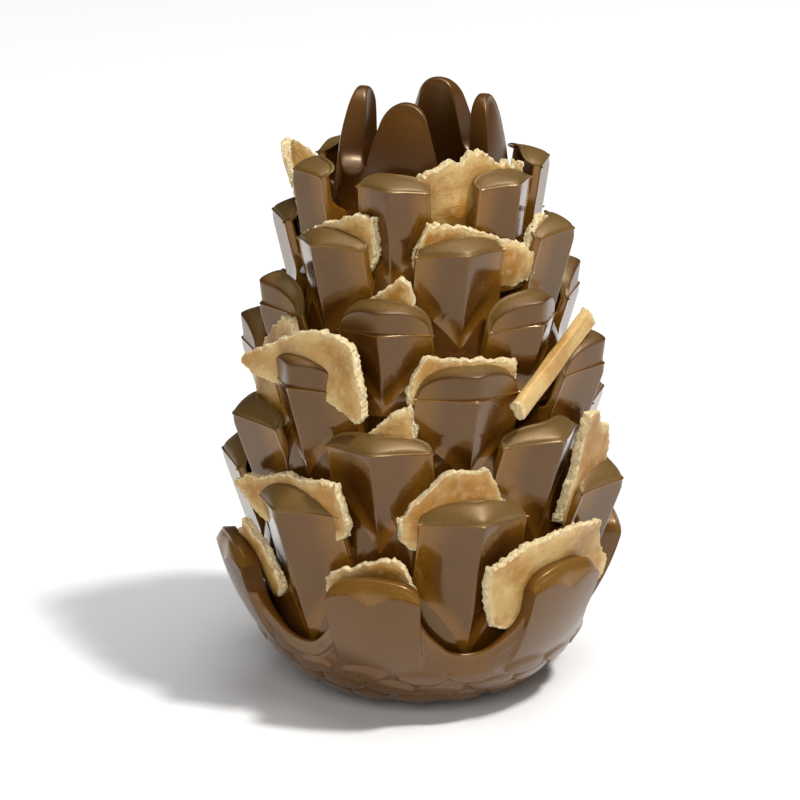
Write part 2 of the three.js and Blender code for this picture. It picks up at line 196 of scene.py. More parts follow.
height = wavy * 0.30 + fine * satin_share * 0.35 + fine * 0.03
dimple = start.node("ShaderNodeBump", None, {"Strength": 0.35, "Distance": 0.0004, "Height": height})
start.tree.links.new(dimple.socket, shader.inputs["Normal"])
shader.inputs["IOR"].default_value = 1.75
shader.inputs["Specular Tint"].default_value = (1.0, 0.75, 0.49, 1.0)
shader.inputs["Subsurface Weight"].default_value = 0.08
shader.inputs["Subsurface Radius"].default_value = (0.004, 0.0014, 0.0003)
shader.inputs["Subsurface Scale"].default_value = 1.0


def skin(name, parts, finish, attributes, weld=2e-6):
    """One object from grids of points in mm. Each part is its points as rows by columns by xyz, one grid of
    values for each attribute, and whether the columns close on themselves. Neighbours in a grid are joined
    with four-sided faces, and points that meet are welded, so that strips which share their edges become
    one closed surface."""
    points, faces, values = [], [], [[] for _ in attributes]
    base = 0
    for grid, marks, closed in parts:
        rows, cols = grid.shape[:2]
        number = base + np.arange(rows * cols).reshape(rows, cols)
        right = np.roll(number, -1, axis=1)
        quads = np.stack([number[:-1], right[:-1], right[1:], number[1:]], axis=-1)
        if not closed:
            quads = quads[:, :-1]
        points.append(grid.reshape(-1, 3) * 0.001)
        for store, mark in zip(values, marks):
            store.append(np.broadcast_to(mark, (rows, cols)).reshape(-1))
        faces.append(quads.reshape(-1, 4))
        base += rows * cols
    mesh = bpy.data.meshes.new(name)
    mesh.from_pydata(np.concatenate(points), [], np.concatenate(faces).tolist())
    for attribute, store in zip(attributes, values):
        layer = mesh.attributes.new(attribute, "FLOAT", "POINT")
        layer.data.foreach_set("value", np.concatenate(store).astype(np.float32))
    shell = bmesh.new()
    shell.from_mesh(mesh)
    bmesh.ops.remove_doubles(shell, verts=shell.verts, dist=weld)
    bmesh.ops.dissolve_degenerate(shell, edges=shell.edges, dist=weld * 0.5)
    bmesh.ops.recalc_face_normals(shell, faces=shell.faces)
    shell.to_mesh(mesh)
    shell.free()
    mesh.polygons.foreach_set("use_smooth", np.ones(len(mesh.polygons), bool))
    mesh.materials.append(finish)
    made = bpy.data.objects.new(name, mesh)
    bpy.context.scene.collection.objects.link(made)
    return made


def turned(azimuth, out, up):
    """Points from azimuth in degrees, distance from the axis and height. Azimuth 0 is the front, -Y, and it
    grows towards +X."""
    a = np.radians(azimuth)
    return np.stack([out * np.sin(a), -out * np.cos(a), up * np.ones_like(a)], axis=-1)


def smooth(value):
    """0 below 0, 1 above 1, and an even S-shaped step between."""
    held = np.clip(value, 0, 1)
    return held * held * (3 - 2 * held)


def bump(value):
    """A bell of height 1 about 0 that has died away at 2."""
    return np.exp(-value ** 2)


def curve(*stops):
    """A function through (x, y) stops, smooth between them by a monotone cubic."""
    x, y = np.array(stops, float).T
    step = np.diff(y) / np.diff(x)
    meet = step[:-1] * step[1:]
    inner = np.where(meet > 0, 2 * meet / (step[:-1] + step[1:] + 1e-12), 0)
    slope = np.concatenate([[step[0]], inner, [step[-1]]])

    def read(at):
        at = np.clip(at, x[0], x[-1])
        i = np.clip(np.searchsorted(x, at, side="right") - 1, 0, len(x) - 2)
        h = x[i + 1] - x[i]
        t = (at - x[i]) / h
        return ((2 * t ** 3 - 3 * t ** 2 + 1) * y[i] + (t ** 3 - 2 * t ** 2 + t) * h * slope[i]
                + (3 * t ** 2 - 2 * t ** 3) * y[i + 1] + (t ** 3 - t ** 2) * h * slope[i + 1])
    return read


def bow(start_point, pull, end_point, count):
    """Points on the curve that leaves start_point towards pull and comes into end_point from it."""
    t = np.linspace(0, 1, count)[:, None]
    p, q, r = (np.array(v, float) for v in (start_point, pull, end_point))
    return p * (1 - t) ** 2 + 2 * q * t * (1 - t) + r * t ** 2


TONGUE_AZIMUTH = -13.2
TONGUE_TOP = 36.3
TONGUE_HALF = 10.1
NOTCH_FLOOR = 17.6
RIM_RADIUS = 42.0          # where sideways distances on the cup are measured
PLATE_STAND = 0.9          # how far a tongue's face stands proud of the bowl beside it
PLATE_SIDE = 1.5           # width of the slope between the two
BEVEL_WIDTH = 3.6
BEVEL_DEPTH = 0.9
LIP_ROLL = 2.8             # how far a tongue's lip leans in between its line and its top
OUTER_ROUND = 0.5          # rounds of the rim's outer and inner edge
INNER_ROUND = 0.6
FLOOR_UP = 16.2            # height of the pockets' floor behind the tongues
BOWL_ROWS_TOP = 14.8
# Rows of relief petals under the bowl, as height, half a petal's width, half its length, and the share of
# a petal by which the row is turned.
PETAL_ROWS = [(12.3, 5.6, 2.5, 0.0), (8.8, 5.3, 2.5, 0.5), (5.4, 4.7, 2.3, 0.0)]
PETALS_IN_ROW = 18
PETAL_STAND = 1.15
cup_outside = curve((0.0, 16.5), (0.4, 18.4), (2.1, 22.9), (6.5, 28.9), (11.8, 34.0),
                    (18.4, 38.5), (25.8, 42.0), (31.3, 43.8), (36.5, 44.9))
cup_inside = curve((16.0, 34.2), (17.6, 34.9), (28.5, 38.2), (36.5, 39.9))

# Half an outline, from the middle of a tongue to the middle of a notch, as sideways distance and height.
on_tongue = np.concatenate([
    bow((0, TONGUE_TOP), (6.2, TONGUE_TOP), (8.7, 34.2), 14),
    bow((8.7, 34.2), (TONGUE_HALF, 33.0), (TONGUE_HALF, 31.0), 8)[1:],
    bow((TONGUE_HALF, 31.0), (TONGUE_HALF, 28.8), (TONGUE_HALF, 26.6), 6)[1:],
])
on_notch = np.concatenate([
    bow((TONGUE_HALF + 0.02, 26.2), (11.1, 22.9), (16.8, 19.2), 20),
    bow((16.8, 19.2), (19.3, NOTCH_FLOOR), (24.25, NOTCH_FLOOR), 10)[1:],
])
half_outline = np.concatenate([on_tongue, on_notch])
half_base = np.concatenate([np.linspace(0, TONGUE_HALF, len(on_tongue)),
                            np.linspace(TONGUE_HALF + 0.35, 24.25, len(on_notch))])
half_plate = 1 - smooth((half_base - TONGUE_HALF) / PLATE_SIDE)


def mirrored(half, odd):
    """A half outline from the middle outwards, made a whole one. odd values change sign on the other side."""
    other = -half[::-1] if odd else half[::-1]
    return np.concatenate([other, half[1:]])[:-1]


rim_side = mirrored(half_outline[:, 0], True)
base_side = mirrored(half_base, True)
plate = np.tile(mirrored(half_plate, False), 6)
rim_height = np.tile(mirrored(half_outline[:, 1], False), 6)
middles = np.repeat(TONGUE_AZIMUTH + 60.0 * np.arange(6), len(rim_side))
rim_azimuth = middles + np.tile(np.degrees(np.arctan(rim_side / RIM_RADIUS)), 6)
base_azimuth = middles + np.tile(np.degrees(np.arctan(base_side / RIM_RADIUS)), 6)
notch_line = np.stack([np.abs(rim_side), mirrored(half_outline[:, 1], False)], 1)
notch_line = notch_line[notch_line[:, 1] < 26.0]


def petal_relief(azimuth, up):
    """Height of the relief under the bowl. Over each oval petal it rises steeply behind the lower edge, and
    from there it falls towards the upper one. Where petals overlap, the higher one shows."""
    relief = np.zeros(np.broadcast(azimuth, up).shape)
    for row, (middle, half_wide, half_long, turn_share) in enumerate(PETAL_ROWS):
        pitch = 360.0 / PETALS_IN_ROW
        place = azimuth / pitch - turn_share
        number = np.round(place).astype(int)
        shake = np.random.default_rng(31 + row).uniform(-1, 1, (3, PETALS_IN_ROW))[:, number % PETALS_IN_ROW]
        off = (place - number) * math.radians(pitch) * cup_outside(middle) - 0.9 * shake[0]
        along = (up - middle) * 1.15 - 0.4 * shake[1] + 0.16 * off * shake[2]
        chord = half_long * np.sqrt(np.maximum(1 - (off / half_wide) ** 2, 1e-6))
        from_low = np.clip((along + chord) / (2 * chord), 0, 1)
        low_edge = smooth(2 * chord * from_low / 0.6)
        high_edge = smooth(2 * chord * (1 - from_low) / 1.3)
        rise = low_edge * high_edge * (1 - 0.6 * from_low)
        relief = np.maximum(relief, rise * np.sqrt(chord / half_long) * (0.85 + 0.15 * shake[1]))
    return PETAL_STAND * relief


def cup_surface(azimuth, up, rim_up, plate_share):
    """The cup's outer face: its points, and the values of cap, glow and satin. The bowl's profile carries the
    petals below. A tongue's plate stands proud of it, and a notch's rim has a bevel with a fine groove below.
    Above a line that dips in the middle and at the sides, a tongue's lip rolls inwards: three tenths of the
    way as a slope, and the rest as a quarter of an ellipse."""
    off = (azimuth - TONGUE_AZIMUTH + 30) % 60 - 30
    side = RIM_RADIUS * np.tan(np.radians(off))
    line = 33.0 - 2.2 * bump(side / 2.6) - 1.6 * (np.abs(side) / TONGUE_HALF) ** 4
    over = np.clip((up - line) / np.maximum(rim_up - line, 0.4), 0, 1) * (rim_up > 31.0)
    roll = LIP_ROLL * (0.3 * over + 0.7 * (1 - np.sqrt(1 - over ** 2 * 0.98))) + 0.2 * smooth(over / 0.06)
    beyond = np.abs(side)[..., None] - notch_line[:, 0]
    above = up[..., None] - notch_line[:, 1]
    gap = np.sqrt(beyond ** 2 + above ** 2).min(-1)
    beside = 1 - plate_share
    bevel = BEVEL_DEPTH * smooth(1 - gap / BEVEL_WIDTH) + 0.14 * bump((gap - BEVEL_WIDTH - 0.1) / 0.3)
    step = PLATE_STAND * smooth((up - 13.0) / 4.5)
    out = cup_outside(up) - roll - beside * (step + bevel)
    slant = (cup_outside(up + 0.05) - cup_outside(up - 0.05)) / 0.1
    away = petal_relief(azimuth, up) / np.sqrt(1 + slant ** 2)
    place = turned(azimuth, out + away, up - away * slant * (up > 1.5))
    # Painted glow, as of light through the thin rubber: a little on the whole cup, more by the notches' rims
    # and on the tongues' lips.
    glow = 0.22 + 0.4 * smooth(1 - gap / 2.0) * beside + 0.55 * smooth(over / 0.1)
    cap = smooth(over / 0.15)
    return place, 0.35 * cap, np.clip(glow, 0, 1), 0.2 + 0.15 * cap


rows, caps, glows, satins = [], [], [], []


def add_row(place, cap=0.0, glow=0.0, satin=0.0):
    """One more row of the cup's grid: its points, and the values of cap, glow and satin along it."""
    rows.append(place)
    caps.append(cap + 0 * plate)
    glows.append(glow + 0 * plate)
    satins.append(satin + 0 * plate)


add_row(turned(base_azimuth, 0.01, 0.0))
bowl_rows = np.concatenate([[0.0, 0.15, 0.5, 1.0, 1.5], np.arange(1.9, BOWL_ROWS_TOP, 0.36)])
for up in bowl_rows:
    add_row(*cup_surface(base_azimuth, up + 0 * plate, rim_height, plate))
bowl_top = bowl_rows[-1]
for t in np.linspace(0, 1, 46)[1:]:
    azimuth = base_azimuth + (rim_azimuth - base_azimuth) * t
    up = bowl_top + (rim_height - OUTER_ROUND - bowl_top) * t
    add_row(*cup_surface(azimuth, up, rim_height, plate))
rim_out = np.linalg.norm(rows[-1][:, :2], axis=1)
for angle in np.radians(np.linspace(15, 90, 6)):
    out = rim_out - OUTER_ROUND * (1 - math.cos(angle))
    up = rim_height - OUTER_ROUND + OUTER_ROUND * math.sin(angle)
    add_row(turned(rim_azimuth, out, up), caps[-1], glows[-1], satins[-1])
inner_rim = np.minimum(cup_inside(rim_height), rim_out - 1.2)
for angle in np.radians(np.linspace(90, 0, 6)):
    out = inner_rim + INNER_ROUND * (1 - math.cos(angle))
    up = rim_height - INNER_ROUND + INNER_ROUND * math.sin(angle)
    # Painted glow on the rim's inner edge, as of light through the thin rubber.
    add_row(turned(rim_azimuth, out, up), glow=0.4, satin=0.5)
for t in np.linspace(0, 1, 12)[1:]:
    azimuth = rim_azimuth + (base_azimuth - rim_azimuth) * t
    up = rim_height - INNER_ROUND + (FLOOR_UP - rim_height + INNER_ROUND) * t
    add_row(turned(azimuth, np.minimum(cup_inside(up), inner_rim + 0.2), up))
for out, up in ((33.6, 16.1), (32.6, 17.0), (32.2, 20.0), (0.01, 20.0)):
    add_row(turned(base_azimuth, out, up))
FINISH = ("cap", "glow", "satin")
marks = (np.array(caps), np.array(glows), np.array(satins))
cup = skin("cone_cup", [(np.array(rows), marks, True)], rubber, FINISH)
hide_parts("cone_moulding")
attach(cup, "root")


# The core is the cone's hollow stem. It narrows upwards and ends in a crown of four round-tipped fingers
# about the open mouth, with U-shaped notches between them.
FINGER_AZIMUTH = -15.1
CROWN_NOTCH = 114.5
TIP = 130.0
HALF_FINGER_PITCH = 12.566   # a quarter of the way round at 16 mm out, halved
LIP_ROUND = 1.3              # height of the round on the crown's edge
core_outside = curve((15.0, 33.0), (23.0, 33.9), (56.0, 33.9), (70.0, 30.8), (96.0, 25.0),
                     (108.5, 18.8), (119.0, 17.4), (125.2, 15.9), (128.8, 14.3), (130.0, 13.4))
core_inside = curve((28.0, 0.5), (29.0, 8.6), (32.0, 12.6), (116.0, 12.6), (128.9, 11.7), (130.0, 11.7))
half_finger = np.concatenate([
    bow((0, TIP), (3.9, TIP), (5.1, 126.6), 16),
    bow((5.1, 126.6), (6.2, 122.6), (7.0, 118.6), 10)[1:],
    bow((7.0, 118.6), (7.9, CROWN_NOTCH), (HALF_FINGER_PITCH, CROWN_NOTCH), 12)[1:],
])
one_finger = mirrored(half_finger[:, 0] / HALF_FINGER_PITCH * 45, True)
crown_height = np.tile(mirrored(half_finger[:, 1], False), 4)
finger_middles = np.repeat(FINGER_AZIMUTH + 90.0 * np.arange(4), len(one_finger))
crown_azimuth = finger_middles + np.tile(one_finger, 4)
stem_azimuth = finger_middles + np.tile(mirrored(np.linspace(0, 45, len(half_finger)), True), 4)
# Pockets that are cut back into the core, as azimuth, height of the middle, and depth.
HOLLOWS = [(a - 14.0, 61.0, 2.6) for a in range(0, 360, 60)]
HOLLOWS += [(a - 14.5, 88.0, 2.4) for a in range(0, 360, 60)]


def core_radius(azimuth, up):
    """The core's profile, with a smooth dish behind each scale of the second and fourth tiers."""
    out = core_outside(up) + 0 * azimuth
    for middle, height, depth in HOLLOWS:
        off = (azimuth - middle + 180) % 360 - 180
        out = out - depth * np.clip(1 - (off / 17.0) ** 4, 0, 1) * smooth(1.35 - np.abs(up - height) / 8.0)
    return out


rows = [turned(stem_azimuth, 0.01, 15.0)]
for up in np.concatenate([[15.0, 18.0], np.arange(22.0, 108.0, 1.6), np.arange(108.0, 112.1, 1.0)]):
    rows.append(turned(stem_azimuth, core_radius(stem_azimuth, up), up))
for t in np.linspace(0, 1, 20)[1:]:
    up = 112.0 + (crown_height - LIP_ROUND - 112.0) * t
    rows.append(turned(stem_azimuth + (crown_azimuth - stem_azimuth) * t, core_outside(up), up))
lip_out = core_outside(crown_height - LIP_ROUND)
lip_in = core_inside(crown_height)
half_wall = (lip_out - lip_in) / 2
for angle in np.radians(np.linspace(0, 180, 13)[1:]):
    square_cos = math.copysign(abs(math.cos(angle)) ** 0.55, math.cos(angle))
    rim = crown_height - LIP_ROUND + LIP_ROUND * math.sin(angle) ** 0.55
    rows.append(turned(crown_azimuth, lip_in + half_wall + half_wall * square_cos, rim))
for t in np.linspace(0, 1, 12)[1:]:
    up = crown_height - LIP_ROUND + (110.0 - crown_height + LIP_ROUND) * t
    rows.append(turned(crown_azimuth + (stem_azimuth - crown_azimuth) * t, core_inside(up), up))
for up in (100.0, 80.0, 60.0, 40.0, 32.0, 30.0, 29.0, 28.4, 28.0):
    rows.append(turned(stem_azimuth, core_inside(up), up))
rows.append(turned(stem_azimuth, 0.01, 28.0))
rows = np.array(rows)
satin = 0.5 * smooth((rows[..., 2] - 108.0) / 5.0)
# The fingers are painted with a glow that grows towards their tips, as of light through the thin rubber.
painted_tip_glow = 0.5 * smooth((rows[..., 2] - 117.0) / 12.0)
core = skin("cone_core", [(rows, (0 * satin, painted_tip_glow, satin), True)], rubber, FINISH)
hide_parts("cone_moulding")
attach(core, "root")


# The scales stand in six tiers of six, moulded onto the core. Each is a keel with two flat faces that meet
# in a crisp ridge, a pocket behind, and a thick rounded cap above the thin flash line where the mould parted.
# corner and apex are on the ridge, at the flash line and at the top, as distance from the axis and height.
# lean is how far the ridge comes out for each mm it rises, foot is where the face starts, and pocket is how
# far below the corner the pocket's floor is. step is how far the roll of the cap starts above the flash
# line, as a share of the way to the apex.
TIERS = [
    dict(azimuth=17.2, corner=(44.7, 48.2), apex=(41.8, 52.2), half=11.5,
         lean=0.36, foot=17.5, pocket=11, step=0.0),
    dict(azimuth=-14.0, corner=(41.7, 62.5), apex=(38.4, 65.2), half=11.1,
         lean=0.35, foot=38.5, pocket=11, step=0.0),
    dict(azimuth=16.8, corner=(40.2, 73.5), apex=(37.3, 80.3), half=11.1,
         lean=0.33, foot=55, pocket=9, step=0.72),
    dict(azimuth=-14.5, corner=(35.6, 86.1), apex=(32.9, 92.4), half=9.9,
         lean=0.30, foot=70, pocket=8, step=0.72),
    dict(azimuth=16.6, corner=(33.2, 102.4), apex=(29.5, 104.9), half=9.3,
         lean=0.25, foot=81, pocket=9, step=0.0),
    dict(azimuth=-14.3, corner=(28.3, 114.6), apex=(24.2, 116.6), half=7.4,
         lean=0.15, foot=94, pocket=8, step=0.0),
]
FALL = math.tan(math.radians(32))
EDGE = 0.3                   # round on a scale's side edges
FIN = 0.35                   # how far the thin flash stands out
share = np.linspace(-1, 1, 45)
across = share * (0.5 + 0.5 * np.abs(share))
arch = np.sqrt(np.maximum(1 - np.abs(across) ** 2.7, 0))
swell = np.radians([0, 7, 12, 16, 20, 26, 36, 52, 72, 95, 120, 150, 180])[:, None]


def stood(azimuth, side, out, up):
    """Points of a piece that faces azimuth degrees, from its sideways distance, its distance from the axis
    and its height."""
    around = math.radians(azimuth)
    x = out * np.sin(around) + side * np.cos(around)
    y = -out * np.cos(around) + side * np.sin(around)
    return np.stack([x, y, up], axis=-1)


def scale_face(tier, side, up, round_over):
    """How far out a scale's front is: the ridge leans outwards as it rises, and both faces fall away from it
    evenly. round_over is the width over which the ridge is rounded. Near the core the face flares into it:
    where the two distances come within 1.6 mm of each other, their blend rounds the corner. Also gives how
    near that corner is."""
    slope = np.where(up < tier["corner"][1], tier["lean"], 0.12)
    ridge = tier["corner"][0] + slope * (up - tier["corner"][1])
    face = ridge - FALL * (np.sqrt(side ** 2 + round_over ** 2) - 0.2)
    bed = np.sqrt(np.maximum(core_outside(up) ** 2 - side ** 2, 1.0)) - 0.06
    gap = np.clip(0.5 + 0.5 * (face - bed) / 1.6, 0, 1)
    return bed + (face - bed) * gap + 1.6 * gap * (1 - gap) * 0.5, 4 * gap * (1 - gap)


def scale_parts(tier, azimuth, number):
    """A scale's front, back and rim as grids. Each column of the front runs up the flat face, over the flash
    line, which is a thin lip, and over the cap by a quarter of an ellipse to the arched outline. The back
    follows it down into the pocket, and the rim rounds the thin edge between them, with a fin of flash along
    the face's sides."""
    corner_out, corner_up = tier["corner"]
    apex_out, apex_up = tier["apex"]
    lot = np.random.default_rng(number).uniform(-1, 1, 4)
    side = (tier["half"] - EDGE) * across
    line = corner_up - (0.5 + 0.2 * lot[0]) * across ** 2 + 0.35 * lot[1] * across
    rise = line + 0.3 + (apex_up - corner_up) * tier["step"] * arch
    top = np.maximum(line + (apex_up - corner_up) * arch, rise + 0.02)
    floor = corner_up - tier["pocket"]
    climb = np.linspace(0, 1, 24)[:, None]
    face_up = tier["foot"] - 2.0 + (line - 0.7 - tier["foot"] + 2.0) * climb
    near_line = np.array([-0.45, -0.28, -0.15, -0.05, 0.05, 0.15, 0.28])[:, None]
    above = np.linspace(0, 1, 7 if tier["step"] else 2)[1:, None]
    flat_up = np.concatenate([face_up, line + near_line, line + 0.28 + (rise - line - 0.28) * above])
    round_over = 0.2 + 0.7 * smooth((flat_up - line + 2.5) / 2.5) + 0.7 * smooth((flat_up - line) / 0.4)
    flat_out, corner_near = scale_face(tier, side, flat_up, round_over)
    lip = bump((flat_up - line) / 0.10)
    sunk = smooth((flat_up - line) / 0.2)
    stand = 0.2 if tier["step"] else 0.45
    flat_out = flat_out + FIN * (stand + 0.6 * across ** 4) * lip - 0.16 * sunk
    bend = np.linspace(0, math.pi / 2, 14)[1:, None]
    wide_ridge = 1.6 + 2.2 * smooth(np.sin(bend) * 1.2)
    shift = FALL * (np.sqrt(side ** 2 + 1.6 ** 2) - np.sqrt(side ** 2 + wide_ridge ** 2))
    shed = (corner_out - apex_out + 0.12 * (rise - corner_up)) * arch
    cap_up = rise + (top - rise) * np.sin(bend)
    cap_out = flat_out[-1] + shift - shed * (1 - np.cos(bend))
    front_up = np.concatenate([flat_up, cap_up])
    front_out = np.concatenate([flat_out, cap_out])
    matt = 0.1 if tier["step"] else 1.0
    cap_above = np.maximum(matt, smooth(1.6 * np.sin(bend) - 0.3)) + 0 * cap_up
    cap = np.concatenate([matt * sunk + 0.3 * lip, cap_above])
    satin = np.concatenate([(0.3 + 0.5 * matt) * sunk, 0.75 + 0 * cap_up])
    # Painted glow, as of light through the thin rubber: near the sides, where the face blends into the core,
    # and on the flash line.
    glow = np.concatenate([0.75 * corner_near + 0.8 * smooth((np.abs(across) - 0.45) / 0.5) + 0.8 * lip,
                           0.25 + 0 * cap_up])
    middle = apex_out - 1.3 - 0.2 * (apex_up - front_up)
    below_corner = corner_up - np.minimum(front_up, corner_up)
    side_back = corner_out - tier["lean"] * below_corner - FALL * tier["half"] - 1.6
    back_out = np.minimum(middle + (side_back - middle) * np.abs(across), front_out - 0.9)
    sink = smooth((front_up - floor) / 2.2)
    back_out = 18.0 + (back_out - 18.0) * sink
    wide = side + 0 * front_up

    def outline(grid):
        return np.concatenate([grid[:, 0], grid[-1, 1:-1], grid[::-1, -1]])

    path_s, path_u, path_f, path_b = (outline(grid) for grid in (wide, front_up, front_out, back_out))
    along_side = outline(np.abs(across) + 0 * front_up) > 0.999
    facing = np.where(along_side, np.sign(path_s), 0) + np.where(along_side, 0, path_s / tier["half"])
    upward = np.where(along_side, 0, np.sqrt(np.maximum(1 - facing ** 2, 0)))
    path_line = outline(line + 0 * front_up)
    thick = (path_f - path_b) / 2
    fin = FIN * smooth((path_line + 0.3 - path_u) / 0.5) + 0.75 * bump((path_u - path_line) / 0.35)
    reach = np.minimum(EDGE, thick) * np.sin(swell) + fin * along_side * bump((swell - 0.25) / 0.1)
    rim_out = path_f - thick + thick * np.cos(swell)
    rim = stood(azimuth, path_s + reach * facing, rim_out, path_u + reach * upward)
    rim_cap = np.broadcast_to(outline(cap), rim.shape[:2])
    rim_satin = np.broadcast_to(outline(satin), rim.shape[:2])
    # Painted glow along the rounded thin edge, as of light shining through it.
    rim_glow = np.clip(np.broadcast_to(outline(glow), rim.shape[:2]) + 0.5 * bump((swell - 0.25) / 0.2), 0, 1)
    front_marks = (np.clip(cap, 0, 1), np.clip(glow, 0, 1), satin)
    return [(stood(azimuth, wide, front_out, front_up), front_marks, False),
            (stood(azimuth, wide, back_out, front_up), (0 * cap, 0 * cap, 0 * cap), False),
            (rim, (np.clip(rim_cap, 0, 1), rim_glow, rim_satin), False)]


for number, tier in enumerate(TIERS, 1):
    parts = []
    for k in range(6):
        parts += scale_parts(tier, tier["azimuth"] + 60 * k, 10 * number + k)
    scales = skin(f"scales_tier{number}", parts, rubber, FINISH)
    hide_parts("cone_moulding")
    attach(scales, "root")


# The treats are pieces of a thin baked sheet, snapped by hand and pushed into the pockets. Their broad faces
# are smooth and peach coloured, and their broken edges are pale and crumbly. The faces turn brown away from
# the broken edges and in patches: partly toasting, and partly painted shade where the sheet sits against the
# rubber. Their pits are painted darker, as shade in them.
PEACH_DEEP = (0.43, 0.225, 0.050)
PEACH_PALE = (0.65, 0.465, 0.190)
TOAST_AND_SHADE_BROWN = (0.35, 0.150, 0.012)
CRUMB_PALE = (0.77, 0.62, 0.36)
PIT_SHADE_BROWN = (0.36, 0.21, 0.060)
baked, start, shader, where = blank("baked_treat")
crumb_share = worn(start, "crumb")
toast_and_shade_share = worn(start, "toast_and_shade")
pore = blotch(start, where, 900.0, 4.0, 0.65)
hole = blotch(start, where, 1900.0, 2.0, 0.6)
patch = blotch(start, where, 120.0, 3.0)
tint = between(start, lift(start, patch, 0.38, 0.62), PEACH_DEEP, PEACH_PALE)
# One brown for real toasting and for painted shade where the sheet sits against the rubber.
tint = between(start, toast_and_shade_share, tint, TOAST_AND_SHADE_BROWN)
tint = between(start, crumb_share * lift(start, pore, 0.15, 0.5), tint, CRUMB_PALE)
# The pits are painted darker brown, as shade inside them.
tint = between(start, lift(start, hole, 0.55, 0.75) * (0.3 + crumb_share * 0.15), tint, PIT_SHADE_BROWN)
start.tree.links.new(tint.socket, shader.inputs["Base Color"])
dry = 0.5 + crumb_share * 0.35
start.tree.links.new(dry.socket, shader.inputs["Roughness"])
height = pore * (0.3 + crumb_share * 0.7) - lift(start, hole, 0.5, 0.75) * (0.15 + crumb_share * 0.4)
grain = start.node("ShaderNodeBump", None, {"Strength": 0.9, "Distance": 0.0006, "Height": height})
start.tree.links.new(grain.socket, shader.inputs["Normal"])
shader.inputs["Subsurface Weight"].default_value = 0.15
shader.inputs["Subsurface Radius"].default_value = (0.003, 0.0015, 0.0006)
shader.inputs["Subsurface Scale"].default_value = 1.0

TREAT_THICK = 2.2
# The random moves of a treat's surface, as the size of the cells, and how far a point moves at a broken edge
# and on a face.
TREAT_GRAIN = ((2.4, 0.10, 0.10), (0.8, 0.20, 0.04), (0.42, 0.26, 0.02))


def grit(points, size, seed):
    """Even random values from -1 to 1 in space: one at each corner of cells of this size, and between them
    the eight corners of a cell blended by the smoothed distance along each axis."""
    table = np.random.default_rng(seed).uniform(-1, 1, (32, 32, 32))
    cell = points / size + 500.0
    low = np.floor(cell).astype(int)
    part = smooth(cell - low)
    total = 0.0
    for corner in np.ndindex(2, 2, 2):
        weight = np.prod(np.where(corner, part, 1 - part), axis=-1)
        a, b, c = np.moveaxis((low + np.array(corner)) % 32, -1, 0)
        total = total + weight * table[a, b, c]
    return total


def crowded(count):
    """count shares from 0 to 1 that stand closer together near both ends."""
    t = np.linspace(0, 1, count)
    return t - 0.11 * np.sin(2 * np.pi * t)


